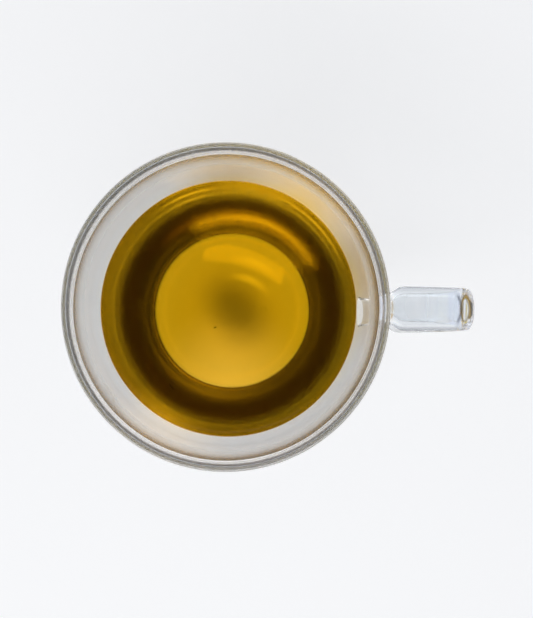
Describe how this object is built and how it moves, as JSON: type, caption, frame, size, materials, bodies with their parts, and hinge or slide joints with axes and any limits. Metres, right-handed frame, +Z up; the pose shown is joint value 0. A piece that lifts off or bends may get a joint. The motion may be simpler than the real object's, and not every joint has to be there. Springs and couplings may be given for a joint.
{
  "type": "glass cup of tea",
  "caption": "Clear double walled glass cup with a tapered inner bowl and a strap handle, part filled with amber tea, standing on its flat underside.",
  "frame": {"origin": "on the cup's axis, at the flat underside", "axes": "+Z up along the cup's axis, +X towards the handle"},
  "size_m": [0.1264, 0.1, 0.067],
  "materials": {
    "glass": "clear, fire polished",
    "tea": "clear amber liquid, still surface"
  },
  "bodies": {
    "root": {"cup": "glass", "tea": "tea"}
  },
  "joints": []
}
